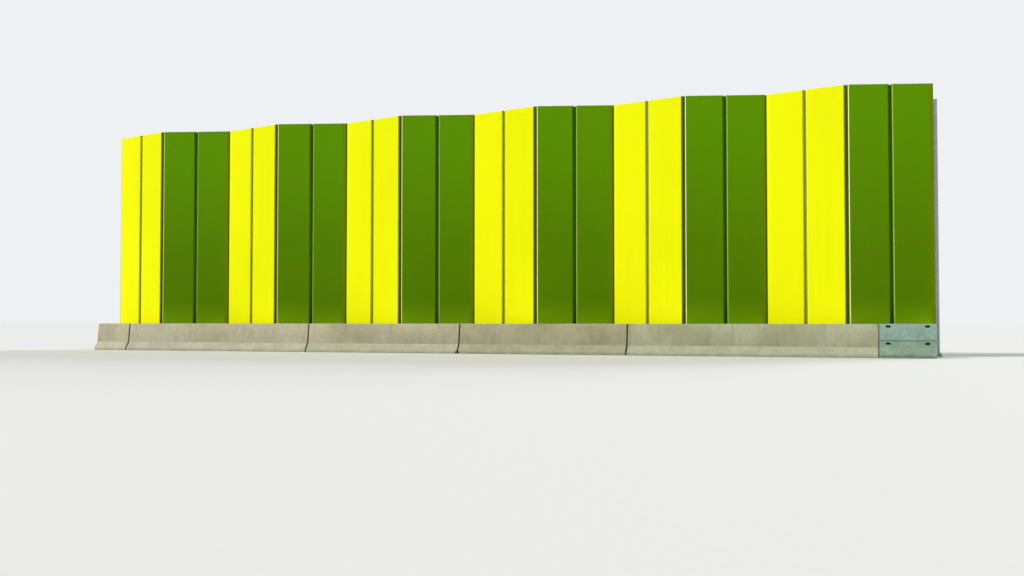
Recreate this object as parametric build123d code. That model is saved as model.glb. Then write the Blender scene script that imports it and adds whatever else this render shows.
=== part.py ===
from build123d import *
import math
import os

# Folded highway noise wall with a safety barrier along its foot, in millimetres.
# +X runs along the wall, +Y points away from the road and +Z is up.
# The origin is on the ground, at the centre of the middle post's base plate.

# Folded wall in plan: ridges point to the road, valleys away from it
BAYS = 6
BAY_LENGTH = 4100.0
FOLD_DEPTH = 600.0
WALL_HEIGHT = 6800.0

# Wall panels: two precast slabs side by side on each flat face
PANEL_THICKNESS = 100.0
PANEL_JOINT = 60.0
RIDGE_CLEARANCE = 8.0
VALLEY_CLEARANCE = 12.0
EDGE_BEVEL = 35.0
VALLEY_BEVEL = 12.0
TOP_BEVEL = 18.0

# Seals in the upright joints
SEAL_RECESS = 48.0
SEAL_DEPTH = 36.0
VALLEY_SEAL_RECESS = 24.0

# Channel rails behind the panels, flanges turned to the back
RAIL_COUNT = 4
LOWEST_RAIL = 700.0
RAIL_SPACING = 1800.0
RAIL_HEIGHT = 150.0
RAIL_DEPTH = 75.0
RAIL_WEB = 8.0
RAIL_FLANGE = 11.0
RAIL_ROOT = 12.0
RAIL_MITRE_CLEARANCE = 10.0

# H-section posts behind every ridge and valley
POST_DEPTH = 310.0
POST_WIDTH = 166.0
POST_FLANGE = 14.0
POST_WEB = 9.0
POST_ROOT = 9.0
POST_TOP_MARGIN = 260.0
CAP_PLATE = 10.0
BRACKET_LENGTH = 48.0
BRACKET_HEIGHT = 130.0

# Post feet
BASE_PLATE = 30.0
BASE_WIDTH = 310.0
BASE_TOE = 84.0
ANCHOR_HOLE_RADIUS = 14.0
ANCHOR_EDGE = 46.0
GUSSET_THICKNESS = 12.0
GUSSET_HEIGHT = 240.0
GUSSET_LIP = 20.0
GUSSET_SNIPE = 15.0

# Concrete safety barrier with a stepped road face
BARRIER_HEIGHT = 820.0
BARRIER_TOP_WIDTH = 260.0
BARRIER_STANDOFF = 386.0
TOE_HEIGHT = 75.0
BREAK_HEIGHT = 255.0
LOWER_SLOPE = 55.0
UPPER_SLOPE = 84.0
BARRIER_ARRIS = 15.0
BARRIER_JOINT = 32.0
END_ARRIS = 14.0
KEY_WIDTH = 100.0
KEY_DEPTH = 40.0
KEY_TAPER = 20.0
KEY_STOP = 120.0

# Barrier run from the near end: cover, four units that share the rest, and a cut unit
COVER_LENGTH = 1306.0
NEAR_UNIT_SHARE = 3.96
SHORT_UNIT_SHARE = 3.0
LONG_UNIT_SHARE = 4.0
FAR_UNIT_LENGTH = 1179.0

# Broken toe corners: the far end of the second unit and the near end of the third
BROKEN_ENDS = {2: (-1,), 3: (1,)}
SPALL_WIDTH = 75.0
SPALL_DEPTH = 60.0
SPALL_HEIGHT = 130.0

# Steel closing section at the near end of the barrier
COVER_PLATE = 10.0
COVER_JOINT = 14.0
LAP_PLATE = 6.0
LAP_HEIGHT = 425.0
DIAPHRAGM_THICKNESS = 10.0
DIAPHRAGM_INSET = 90.0
SLOT_LENGTH = 115.0
SLOT_WIDTH = 56.0
SLOT_FROM_END = 205.0
UPPER_SLOT_HEIGHT = 760.0
LOWER_SLOT_HEIGHT = 345.0

# Clearances
SEAT = 0.3
FOOT_CLEARANCE = 6.0

# Sizes that follow from the fold
half_bay = BAY_LENGTH / 2
half_wall = BAYS * half_bay
fold_angle = math.degrees(math.atan2(FOLD_DEPTH, half_bay))
slope = FOLD_DEPTH / half_bay
cosine = math.cos(math.radians(fold_angle))
face_length = math.hypot(half_bay, FOLD_DEPTH)
ridge_setback = PANEL_THICKNESS * slope + RIDGE_CLEARANCE / 2 / cosine
valley_setback = VALLEY_CLEARANCE / 2 / cosine
panel_width = (face_length - ridge_setback - valley_setback - PANEL_JOINT) / 2

# Depth of each layer behind a fold line, measured square to the wall line at the fold
panel_back = PANEL_THICKNESS / cosine
rail_back = (PANEL_THICKNESS + SEAT + RAIL_DEPTH + SEAT) / cosine
ridge_post_face = max(
    rail_back + POST_WIDTH / 2 * slope + BRACKET_LENGTH,
    panel_back + BASE_WIDTH / 2 * slope + FOOT_CLEARANCE + BASE_TOE,
)
valley_post_face = max(rail_back + BRACKET_LENGTH, panel_back + FOOT_CLEARANCE + BASE_TOE)

# Places across the wall
valley_line = -(valley_post_face + POST_DEPTH / 2)
ridge_line = valley_line - FOLD_DEPTH
ridge_post_line = ridge_line + ridge_post_face + POST_DEPTH / 2
barrier_front = ridge_line - BARRIER_STANDOFF
post_height = LOWEST_RAIL + (RAIL_COUNT - 1) * RAIL_SPACING + RAIL_HEIGHT / 2 + POST_TOP_MARGIN
base_length = POST_DEPTH + 2 * BASE_TOE


def upright(outline, height, base=0.0):
    """Prism that stands on a plan outline."""
    plan = make_face(Polyline(*outline, close=True))
    return extrude(Pos(0, 0, base) * plan, amount=height, dir=(0, 0, 1))


def along_wall(profile, start, length):
    """Prism that runs along +X from a profile drawn in Y and Z."""
    return extrude(Plane.YZ.offset(start) * profile, amount=length, dir=(1, 0, 0))


def face_places():
    """Colour and place of each flat face, from the far end to the near end.

    A face's own frame has +X along the face, from its far end, and +Y into the wall.
    """
    places = []
    for bay in range(BAYS):
        valley = bay * BAY_LENGTH - half_wall
        ridge = valley + half_bay
        places.append(("yellow", Pos(valley, valley_line, 0) * Rot(0, 0, -fold_angle)))
        places.append(("green", Pos(ridge, ridge_line, 0) * Rot(0, 0, fold_angle)))
    return places


def panel(start, width, far_bevel, near_bevel):
    """One full-height slab with bevelled road-side edges."""
    end = start + width
    outline = (
        (start, PANEL_THICKNESS),
        (start, far_bevel),
        (start + far_bevel, 0),
        (end - near_bevel, 0),
        (end, near_bevel),
        (end, PANEL_THICKNESS),
    )
    slab = upright(outline, WALL_HEIGHT)
    top_edges = slab.edges().group_by(Axis.Z)[-1]
    road_edge = top_edges.filter_by(Axis.X).sort_by(Axis.Y)[0]
    return chamfer(road_edge, TOP_BEVEL)


def face_panels(colour):
    """The far and the near slab of a face, in the face's frame."""
    if colour == "yellow":
        far = panel(valley_setback, panel_width, VALLEY_BEVEL, EDGE_BEVEL)
        near_start = valley_setback + panel_width + PANEL_JOINT
        near = panel(near_start, panel_width, EDGE_BEVEL, EDGE_BEVEL)
    else:
        far = panel(ridge_setback, panel_width, EDGE_BEVEL, EDGE_BEVEL)
        near_start = ridge_setback + panel_width + PANEL_JOINT
        near = panel(near_start, panel_width, EDGE_BEVEL, VALLEY_BEVEL)
    return far, near


def middle_seal(colour):
    """Seal between the two slabs of a face, in the face's frame."""
    first = valley_setback if colour == "yellow" else ridge_setback
    start = first + panel_width + SEAT
    end = first + panel_width + PANEL_JOINT - SEAT
    front = SEAL_RECESS
    back = SEAL_RECESS + SEAL_DEPTH
    outline = ((start, front), (end, front), (end, back), (start, back))
    return upright(outline, WALL_HEIGHT - TOP_BEVEL)


def fold_seal(setback, turn, front, back):
    """Wedge-shaped seal between the slabs that meet at a fold, centred on the fold line.

    turn is +1 at a ridge and -1 at a valley.
    """
    sine = math.sin(math.radians(fold_angle))

    def corner(depth):
        across = (setback - SEAT) * cosine - turn * depth * sine
        into = turn * (setback - SEAT) * sine + depth * cosine
        return across, into

    front_across, front_into = corner(front)
    back_across, back_into = corner(back)
    outline = (
        (-front_across, front_into),
        (front_across, front_into),
        (back_across, back_into),
        (-back_across, back_into),
    )
    return upright(outline, WALL_HEIGHT - TOP_BEVEL)


def rail(level):
    """Channel along one face, before its ends are mitred, in the face's frame."""
    overrun = face_length / 10
    front = PANEL_THICKNESS + SEAT
    web = front + RAIL_WEB
    back = front + RAIL_DEPTH
    half = RAIL_HEIGHT / 2
    inner = half - RAIL_FLANGE
    outline = (
        (front, -half), (back, -half), (back, -inner), (web, -inner),
        (web, inner), (back, inner), (back, half), (front, half),
    )
    profile = make_face(Polyline(*outline, close=True))
    roots = profile.vertices().filter_by(lambda corner: abs(corner.X - web) < SEAT)
    profile = fillet(roots, RAIL_ROOT)
    return Pos(0, 0, level) * along_wall(profile, -overrun, face_length + 2 * overrun)


def face_rails(index, place):
    """The rails of one face, mitred on the fold planes at both ends."""
    start = index * half_bay - half_wall + RAIL_MITRE_CLEARANCE / 2
    length = half_bay - RAIL_MITRE_CLEARANCE
    reach = 2 * (FOLD_DEPTH + POST_DEPTH + ridge_post_face)
    slice_box = Pos(start, ridge_line, 0) * Box(
        length, reach, 2 * WALL_HEIGHT, align=(Align.MIN, Align.CENTER, Align.CENTER)
    )
    rails = []
    for level in range(RAIL_COUNT):
        whole = place * rail(LOWEST_RAIL + level * RAIL_SPACING)
        rails.append(whole & slice_box)
    return rails


def post_section():
    """Plan section of the H with its root radii, centred on the post."""
    x = POST_WIDTH / 2
    y = POST_DEPTH / 2
    web = POST_WEB / 2
    inner = y - POST_FLANGE
    outline = (
        (-x, -y), (x, -y), (x, -inner), (web, -inner), (web, inner), (x, inner),
        (x, y), (-x, y), (-x, inner), (-web, inner), (-web, -inner), (-x, -inner),
    )
    section = make_face(Polyline(*outline, close=True))
    roots = section.vertices().filter_by(lambda corner: abs(corner.X) < POST_WEB)
    return fillet(roots, POST_ROOT)


def base_plate():
    """Foot plate with its four anchor holes."""
    plate = Box(BASE_WIDTH, base_length, BASE_PLATE, align=(Align.CENTER, Align.CENTER, Align.MIN))
    x = BASE_WIDTH / 2 - ANCHOR_EDGE
    y = base_length / 2 - ANCHOR_EDGE
    for across in (-x, x):
        for into in (-y, y):
            plate = plate - Pos(across, into, BASE_PLATE / 2) * Cylinder(ANCHOR_HOLE_RADIUS, 2 * BASE_PLATE)
    return plate


def gusset(side):
    """Tapered stiffener between a flange and the foot plate."""
    flange = side * POST_DEPTH / 2
    toe = side * (POST_DEPTH / 2 + BASE_TOE - GUSSET_LIP)
    top = BASE_PLATE + GUSSET_HEIGHT
    outline = (
        (flange, BASE_PLATE + GUSSET_SNIPE),
        (flange + side * GUSSET_SNIPE, BASE_PLATE),
        (toe, BASE_PLATE),
        (toe, BASE_PLATE + GUSSET_LIP),
        (flange + side * GUSSET_LIP, top),
        (flange, top),
    )
    profile = make_face(Polyline(*outline, close=True))
    return along_wall(profile, -GUSSET_THICKNESS / 2, GUSSET_THICKNESS)


def rail_bracket(side, turn, face):
    """Half of the seat that carries the rails of one side at a post, in plan.

    side is -1 or +1 along the wall, turn is +1 at a ridge and -1 at a valley, and face is
    the distance from the fold line to the post's front flange.
    """
    front = -POST_DEPTH / 2
    fold = front - face
    reach = side * POST_WIDTH / 2
    return (
        (0, front),
        (reach, front),
        (reach, fold + rail_back + turn * POST_WIDTH / 2 * slope),
        (0, fold + rail_back),
    )


def post(turn, face, sides):
    """Post with its foot, cap and rail seats, centred on its own plan centre."""
    body = extrude(Pos(0, 0, BASE_PLATE) * post_section(), amount=post_height - BASE_PLATE, dir=(0, 0, 1))
    body = body + base_plate()
    body = body + gusset(-1) + gusset(1)
    cap = Box(POST_WIDTH, POST_DEPTH, CAP_PLATE, align=(Align.CENTER, Align.CENTER, Align.MIN))
    body = body + Pos(0, 0, post_height) * cap
    for level in range(RAIL_COUNT):
        base = LOWEST_RAIL + level * RAIL_SPACING - BRACKET_HEIGHT / 2
        for side in sides:
            body = body + upright(rail_bracket(side, turn, face), BRACKET_HEIGHT, base)
    return body


def barrier_profile():
    """Section of the safety barrier in Y and Z, stepped on the road side."""
    upper_run = (BARRIER_HEIGHT - BREAK_HEIGHT) / math.tan(math.radians(UPPER_SLOPE))
    lower_run = (BREAK_HEIGHT - TOE_HEIGHT) / math.tan(math.radians(LOWER_SLOPE))
    back = barrier_front + BARRIER_TOP_WIDTH
    knee = barrier_front - upper_run
    toe = knee - lower_run
    outline = (
        (back, 0),
        (toe, 0),
        (toe, TOE_HEIGHT),
        (knee, BREAK_HEIGHT),
        (barrier_front, BARRIER_HEIGHT),
        (back, BARRIER_HEIGHT),
    )
    return make_face(Polyline(*outline, close=True))


def break_corner(unit, end, side, toe):
    """Unit with the toe corner at one end broken off along a slanting plane."""
    corner = Plane(
        origin=(end - side * SPALL_WIDTH, toe, 0),
        z_dir=(-side / SPALL_WIDTH, 1 / SPALL_DEPTH, 1 / SPALL_HEIGHT),
    )
    return split(unit, bisect_by=corner, keep=Keep.TOP)


def grout_key(end, side):
    """Tapered upright groove in one end of a unit."""
    middle = barrier_front + BARRIER_TOP_WIDTH / 2
    mouth = KEY_WIDTH / 2
    bottom = mouth - KEY_TAPER
    inner = end - side * KEY_DEPTH
    outline = ((end, middle - mouth), (end, middle + mouth), (inner, middle + bottom), (inner, middle - bottom))
    return upright(outline, BARRIER_HEIGHT - KEY_STOP)


def concrete_unit(start, length, broken):
    """Precast barrier unit with bevelled edges and a grout key in each end.

    broken holds the ends, -1 far and +1 near, whose toe corner is broken off.
    """
    section = barrier_profile()
    section = chamfer(section.vertices().group_by(Axis.Y)[-1], BARRIER_ARRIS)
    toe = section.bounding_box().min.X
    back = barrier_front + BARRIER_TOP_WIDTH
    unit = along_wall(section, start, length)
    for side in (-1, 1):
        end_face = unit.faces().sort_by(Axis((0, 0, 0), (side, 0, 0)))[-1]
        above_ground = end_face.edges().filter_by(lambda edge: edge.center().Z > 0)
        unit = chamfer(above_ground.filter_by(lambda edge: edge.center().Y < back), END_ARRIS)
    for side in (-1, 1):
        end = start if side < 0 else start + length
        if side in broken:
            unit = break_corner(unit, end, side, toe)
        unit = unit - grout_key(end, side)
    return unit


def lap_profile(outer):
    """Section of the upper sheet, which laps over the road face and half of the top."""
    ring = offset(outer, amount=LAP_PLATE, kind=Kind.INTERSECTION) - outer
    toe = outer.bounding_box().min.X - LAP_PLATE
    middle = barrier_front + BARRIER_TOP_WIDTH / 2
    window = Rectangle(middle - toe, BARRIER_HEIGHT, align=(Align.MAX, Align.MIN))
    return ring & (Pos(middle, LAP_HEIGHT) * window)


def steel_cover(start, length):
    """Folded plate section with the barrier's outline, stiffened by two diaphragms."""
    outer = barrier_profile()
    inner = offset(outer, amount=-COVER_PLATE, kind=Kind.INTERSECTION)
    shell = along_wall(outer, start, length) - along_wall(inner, start, length)
    box = inner.bounding_box()
    opening = Pos(start, box.min.X, 0) * Box(
        length, box.size.X, 2 * COVER_PLATE, align=(Align.MIN, Align.MIN, Align.CENTER)
    )
    shell = shell - opening
    for place in (start + DIAPHRAGM_INSET, start + length - DIAPHRAGM_INSET - DIAPHRAGM_THICKNESS):
        shell = shell + along_wall(inner, place, DIAPHRAGM_THICKNESS)
    shell = shell + along_wall(lap_profile(outer), start, length)
    toe = outer.bounding_box().min.X - LAP_PLATE
    depth = barrier_front + BARRIER_TOP_WIDTH / 2 - toe
    for height in (UPPER_SLOT_HEIGHT, LOWER_SLOT_HEIGHT):
        for place in (start + SLOT_FROM_END, start + length - SLOT_FROM_END):
            mouth = Plane((place, toe, height), x_dir=(1, 0, 0), z_dir=(0, 1, 0))
            shell = shell - extrude(mouth * SlotOverall(SLOT_LENGTH, SLOT_WIDTH), amount=depth)
    return shell


def write(name, *solids):
    """Write one named piece."""
    shape = solids[0] if len(solids) == 1 else Compound(children=list(solids))
    export_step(shape, f"parts/{name}.step")


def write_panels():
    """Both slabs of every face, numbered from the far end."""
    counts = {"yellow": 0, "green": 0}
    for colour, place in face_places():
        for slab in face_panels(colour):
            counts[colour] += 1
            write(f"{colour}_panel_{counts[colour]:02d}", place * slab)


def write_seals():
    """Seals of all upright joints in one piece list."""
    seals = []
    for colour, place in face_places():
        seals.append(place * middle_seal(colour))
    ridge_seal = fold_seal(ridge_setback, 1, SEAL_RECESS, SEAL_RECESS + SEAL_DEPTH)
    valley_end = VALLEY_SEAL_RECESS + SEAL_DEPTH
    valley_seal = fold_seal(valley_setback, -1, VALLEY_SEAL_RECESS, valley_end)
    for bay in range(BAYS):
        seals.append(Pos(bay * BAY_LENGTH - half_wall + half_bay, ridge_line, 0) * ridge_seal)
        if bay > 0:
            seals.append(Pos(bay * BAY_LENGTH - half_wall, valley_line, 0) * valley_seal)
    write("joint_seals", *seals)


def write_rails():
    """All rails, from the far end."""
    rails = []
    for index, (_, place) in enumerate(face_places()):
        rails.extend(face_rails(index, place))
    write("panel_rails", *rails)


def write_posts():
    """Valley posts and ridge posts, each numbered from the far end."""
    for number in range(BAYS + 1):
        sides = [side for side in (-1, 1) if 0 <= 2 * number + side <= 2 * BAYS]
        whole = post(-1, valley_post_face, sides)
        write(f"valley_post_{number + 1}", Pos(number * BAY_LENGTH - half_wall, 0, 0) * whole)
    whole = post(1, ridge_post_face, (-1, 1))
    for number in range(BAYS):
        place = Pos(number * BAY_LENGTH - half_wall + half_bay, ridge_post_line, 0)
        write(f"ridge_post_{number + 1}", place * whole)


def write_barrier():
    """Barrier pieces from the near end, where the steel section closes the run."""
    end = half_wall
    write("barrier_cover", steel_cover(end - COVER_LENGTH, COVER_LENGTH))
    end = end - COVER_LENGTH - COVER_JOINT
    shares = (NEAR_UNIT_SHARE, SHORT_UNIT_SHARE, SHORT_UNIT_SHARE, LONG_UNIT_SHARE)
    shared_run = end + half_wall - FAR_UNIT_LENGTH - len(shares) * BARRIER_JOINT
    lengths = [shared_run * share / sum(shares) for share in shares]
    lengths.append(FAR_UNIT_LENGTH)
    for number, length in enumerate(lengths, start=1):
        unit = concrete_unit(end - length, length, BROKEN_ENDS.get(number, ()))
        write(f"barrier_unit_{number}", unit)
        end = end - length - BARRIER_JOINT


os.makedirs("parts", exist_ok=True)
write_panels()
write_seals()
write_rails()
write_posts()
write_barrier()
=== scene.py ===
import math

import bpy
from mathutils import Matrix, Vector


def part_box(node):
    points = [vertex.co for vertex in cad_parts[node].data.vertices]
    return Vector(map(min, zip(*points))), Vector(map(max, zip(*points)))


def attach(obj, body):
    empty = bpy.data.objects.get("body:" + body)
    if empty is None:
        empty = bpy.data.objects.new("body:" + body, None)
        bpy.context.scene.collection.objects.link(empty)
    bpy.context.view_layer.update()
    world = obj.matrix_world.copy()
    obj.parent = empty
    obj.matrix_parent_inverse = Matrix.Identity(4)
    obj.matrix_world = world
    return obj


# Dresses the folded noise wall: weathered paint, concrete and galvanised steel, and the
# bolts, nuts, welds and plugs that the solids leave out. All lengths are in metres.

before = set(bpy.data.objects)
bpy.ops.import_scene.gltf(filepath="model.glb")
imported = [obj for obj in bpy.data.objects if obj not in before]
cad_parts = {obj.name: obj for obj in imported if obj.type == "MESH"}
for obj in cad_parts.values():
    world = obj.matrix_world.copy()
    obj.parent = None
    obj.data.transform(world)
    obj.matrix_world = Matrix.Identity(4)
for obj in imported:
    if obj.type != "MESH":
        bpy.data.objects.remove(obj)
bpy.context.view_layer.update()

# Fold of the wall and its slabs
BAY = 4.1
FOLD = 0.6
SLAB_DEPTH = 0.1
SLAB_JOINT = 0.06
RIDGE_CLEARANCE = 0.008
VALLEY_CLEARANCE = 0.012
BRACE_HEIGHTS = (3.4, 5.2)
SLAB_LIFTING_SHARE = 0.27

# Rails behind the slabs
LOWEST_RAIL = 0.7
RAIL_SPACING = 1.8
RAIL_COUNT = 4
RAIL_WEB = 0.008
RAIL_SEAT = 0.0003
STUD_OFFSET = 0.05

# Posts and their feet
POST_DEPTH = 0.31
POST_WIDTH = 0.166
POST_FLANGE = 0.014
POST_WEB = 0.009
CAP_PLATE = 0.01
BASE_PLATE = 0.03
ANCHOR_EDGE = 0.046
GUSSET_THICKNESS = 0.012
GUSSET_HEIGHT = 0.24
GUSSET_REACH = 0.064
GUSSET_SNIPE = 0.015
BRACKET_HEIGHT = 0.13
WELD_LEG = 0.007
WELD_RIPPLE = 0.011
WELD_DIP = 0.88
WELD_CROWN = 0.58

# Barrier, its steel closing section and the broken corners at one of its joints
BARRIER_WIDTH = 0.26
KNEE_HEIGHT = 0.255
UPPER_SLOPE = math.radians(84)
END_CLEARANCE = 0.01
LAP_PLATE = 0.006
LAP_HEIGHT = 0.425
LAP_SCREWS = 7
LAP_SCREW_INSET = 0.06
LAP_SCREW_RISE = 0.025
UNIT_LIFTING_SHARES = (0.21, 0.79)
GRIME_REACH = (0.025, 0.06)
SPALL_WIDTH = 0.075
SPALL_DEPTH = 0.06
SPALL_HEIGHT = 0.13

# How far a tone goes along the wall, from where it is full to where it ends: painted shade beside
# a valley on the face and on the bevels, beside a joint's middle and beside a ridge, and at any fold line
VALLEY_SHADE_STRIP = (0.024, 0.034)
VALLEY_SHADE_BEVELS = (0.05, 0.1)
JOINT_SHADE_STRIP = (0.033, 0.041)
RIDGE_SHADE_STRIP = (0.039, 0.047)
FOLD_REACH = (0.15, 0.2)

# Depths between which the paint in a joint ends
PAINT_DEPTH = (0.068, 0.074)

# Heights and lengths of the tones on a slab: drips below the top, the head's painted light from
# its lowest height, stains from a little below each rail's middle, and damp at the back's foot
DRIP_LENGTH = 0.9
HEAD_LIGHT_START = 2.2
STAIN_DROP = 0.08
DAMP_REACH = (0.2, 0.75)

# How far a valley's painted bounce light goes over the face: strong close by, and faint beyond
VALLEY_BOUNCE_CLOSE = (0.0, 0.18)
VALLEY_BOUNCE_WIDE = (0.1, 1.7)

# Colour that each barrier unit is multiplied by, numbered from the near end
UNIT_SHADES = {
    1: (0.80, 0.885, 0.82),
    2: (0.74, 0.76, 0.69),
    3: (0.894, 0.923, 0.884),
    4: (0.94, 0.95, 0.955),
    5: (1.0, 1.0, 1.0),
}

# Camera, which stands where the photograph's did, and is turned and zoomed in on the six bays
CAMERA_PLACE = (11.88, -29.85, 0.88)
CAMERA_TURN = math.radians(20)
CAMERA_RISE = math.radians(1.72)
CAMERA_LENS = 39.2
SENSOR_WIDTH = 36.0
CAMERA_REACH = 2000.0

# Light: the key comes from the front left, and the sky counts less as light than as a backdrop
KEY_TURN = math.radians(58)
KEY_RISE = math.radians(38)
KEY_STRENGTH = 2.8
KEY_SOFTNESS = 10.0
BACK_DIRECTION = (0.45, 0.8, 0.45)
BACK_STRENGTH = 1.9
BACK_SOFTNESS = 30.0
SKY_COLOUR = (0.86, 0.88, 0.9, 1.0)
SKY_LIGHT = 0.34

# Angle from which an edge of the small pieces is shaded as sharp
SHARP_ANGLE = math.radians(32)

# Floor: a wide disc just under the feet
FLOOR_REACH = 900.0
FLOOR_LEVEL = -0.002
FLOOR_SIDES = 64

# Sizes that follow from the fold
slope = FOLD / (BAY / 2)
fold_angle = math.atan(slope)
fold_cos = math.cos(fold_angle)
fold_sin = math.sin(fold_angle)
face_length = math.hypot(BAY / 2, FOLD)
ridge_setback = SLAB_DEPTH * slope + RIDGE_CLEARANCE / 2 / fold_cos
valley_setback = VALLEY_CLEARANCE / 2 / fold_cos
slab_width = (face_length - ridge_setback - valley_setback - SLAB_JOINT) / 2
rail_web_back = SLAB_DEPTH + RAIL_SEAT + RAIL_WEB
rail_levels = [LOWEST_RAIL + RAIL_SPACING * number for number in range(RAIL_COUNT)]
face_normals = {
    "yellow": (-fold_sin, -fold_cos, 0.0),
    "green": (fold_sin, -fold_cos, 0.0),
}

# Places that the frame gives
slab_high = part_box("yellow_panel_01")[1]
wall_top = slab_high.z
valley_line = slab_high.y - SLAB_DEPTH * fold_cos + valley_setback * fold_sin
ridge_line = valley_line - FOLD
post_low, post_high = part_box("valley_post_1")
base_width = post_high.x - post_low.x
base_length = post_high.y - post_low.y
post_top = post_high.z - CAP_PLATE
bay_count = round((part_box("valley_post_7")[0].x - post_low.x) / BAY)
half_wall = bay_count * BAY / 2
barrier_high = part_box("barrier_unit_1")[1]
barrier_top = barrier_high.z
barrier_front = barrier_high.y - BARRIER_WIDTH


def tint(red, green, blue):
    """Linear colour of a colour given in the usual 0 to 255 steps."""
    linear = []
    for step in (red, green, blue):
        value = step / 255
        linear.append(value / 12.92 if value <= 0.04045 else ((value + 0.055) / 1.055) ** 2.4)
    return (*linear, 1.0)


class Surface:
    """One material's nodes, with short names for the steps that are used often."""

    def __init__(self, name):
        self.material = bpy.data.materials.new(name)
        self.material.use_nodes = True
        self.tree = self.material.node_tree
        self.tree.nodes.clear()
        self.place = self.node("ShaderNodeTexCoord").outputs["Object"]
        self.facing = self.node("ShaderNodeNewGeometry").outputs["True Normal"]
        parts = self.node("ShaderNodeSeparateXYZ", {"Vector": self.place})
        self.x = parts.outputs["X"]
        self.y = parts.outputs["Y"]
        self.z = parts.outputs["Z"]
        facing_parts = self.node("ShaderNodeSeparateXYZ", {"Vector": self.facing})
        self.facing_x = facing_parts.outputs["X"]
        self.facing_z = facing_parts.outputs["Z"]

    def node(self, kind, inputs=None, **settings):
        """New node with its inputs linked or set."""
        made = self.tree.nodes.new(kind)
        for key, value in settings.items():
            setattr(made, key, value)
        for key, value in (inputs or {}).items():
            if isinstance(value, bpy.types.NodeSocket):
                self.tree.links.new(value, made.inputs[key])
            else:
                made.inputs[key].default_value = value
        return made

    def math(self, operation, first, second=0.0):
        return self.node("ShaderNodeMath", {0: first, 1: second}, operation=operation).outputs[0]

    def chain(self, operation, values):
        """The values taken one after another into the same sum, product or maximum."""
        result = values[0]
        for value in values[1:]:
            result = self.math(operation, result, value)
        return result

    def total(self, *values):
        return self.chain("ADD", values)

    def product(self, *values):
        return self.chain("MULTIPLY", values)

    def highest(self, *values):
        return self.chain("MAXIMUM", values)

    def absolute(self, value):
        """The value without its sign."""
        return self.math("ABSOLUTE", value)

    def span(self, value, low, high, start=0.0, end=1.0, curve="SMOOTHSTEP"):
        """start up to low, end from high on, and even or smooth between them."""
        inputs = {"Value": value, "From Min": low, "From Max": high, "To Min": start, "To Max": end}
        return self.node("ShaderNodeMapRange", inputs, interpolation_type=curve).outputs["Result"]

    def near(self, distance, reach, most=1.0):
        """most up to the first distance of reach, and 0 from the second on."""
        full, end = reach
        return self.span(distance, end, full, 0.0, most)

    def near_ridge(self, from_valley, reach):
        """The same beside a ridge, from how far along the wall the valley is."""
        full, end = reach
        return self.span(from_valley, BAY / 2 - end, BAY / 2 - full)

    def towards(self, direction, low, high):
        """1 where the surface faces a direction closely, 0 where it doesn't."""
        inputs = {0: self.facing, 1: direction}
        dot = self.node("ShaderNodeVectorMath", inputs, operation="DOT_PRODUCT").outputs["Value"]
        return self.span(dot, low, high)

    def noise(self, scale, detail=4.0, roughness=0.55, where=None):
        inputs = {"Vector": where or self.place, "Scale": scale, "Detail": detail, "Roughness": roughness}
        return self.node("ShaderNodeTexNoise", inputs).outputs["Fac"]

    def runs(self, across, upright, detail, roughness):
        """Noise drawn out into upright runs, from its scales across and upright."""
        inputs = {"Vector": self.place, "Scale": (across, across, upright)}
        drawn_out = self.node("ShaderNodeMapping", inputs).outputs["Vector"]
        return self.noise(1.0, detail, roughness, drawn_out)

    def cells(self, scale, output="Distance"):
        return self.node("ShaderNodeTexVoronoi", {"Vector": self.place, "Scale": scale}).outputs[output]

    def spangle(self, scale):
        """One grey for each crystal of a zinc coat."""
        return self.node("ShaderNodeSeparateColor", {"Color": self.cells(scale, "Color")}).outputs[0]

    def mix(self, amount, first, second, blend="MIX"):
        inputs = {0: amount, 6: first, 7: second}
        return self.node("ShaderNodeMix", inputs, data_type="RGBA", blend_type=blend).outputs[2]

    def mottled(self, value, low, high, dark, pale):
        """Colour from dark to pale as a value goes from low to high."""
        return self.mix(self.span(value, low, high), dark, pale)

    def steps(self, value, entries):
        """Colour that changes at once at each (position, colour) entry."""
        made = self.node("ShaderNodeValToRGB", {"Fac": value})
        ramp = made.color_ramp
        ramp.interpolation = "CONSTANT"
        ramp.elements.remove(ramp.elements[1])
        for number, (position, colour) in enumerate(entries):
            element = ramp.elements[0] if number == 0 else ramp.elements.new(position)
            element.position = position
            element.color = (*colour, 1.0)
        return made.outputs["Color"]

    def shaded(self, colour, brightness):
        """Colour times a brightness, which may pass 1."""
        if not isinstance(colour, bpy.types.NodeSocket):
            colour = colour[:3]
        scaled = self.node("ShaderNodeVectorMath", {0: colour, "Scale": brightness}, operation="SCALE")
        return scaled.outputs["Vector"]

    def relief(self, *layers):
        """Bumps of (height, distance) entries, each on those before it."""
        normal = None
        for height, distance in layers:
            inputs = {"Height": height, "Distance": distance, "Strength": 1.0}
            if normal is not None:
                inputs["Normal"] = normal
            normal = self.node("ShaderNodeBump", inputs).outputs["Normal"]
        return normal

    def finish(self, colour, roughness, relief, **constants):
        """The material, with its colour, roughness and relief on one shader."""
        shader = self.node("ShaderNodeBsdfPrincipled", {
            "Base Color": colour, "Roughness": roughness, "Normal": relief,
        })
        for key, value in constants.items():
            shader.inputs[key.replace("_", " ")].default_value = value
        output = self.node("ShaderNodeOutputMaterial")
        self.tree.links.new(shader.outputs[0], output.inputs["Surface"])
        return self.material


def raw_concrete(surface, pale, dark):
    """Mottled grey of bare precast concrete, with fine specks."""
    clouds = surface.noise(1.1, 6.0, 0.62)
    specks = surface.noise(90.0, 3.0, 0.7)
    colour = surface.mottled(clouds, 0.35, 0.68, dark, pale)
    return surface.shaded(colour, surface.span(specks, 0.3, 0.7, 0.93, 1.06))


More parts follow.
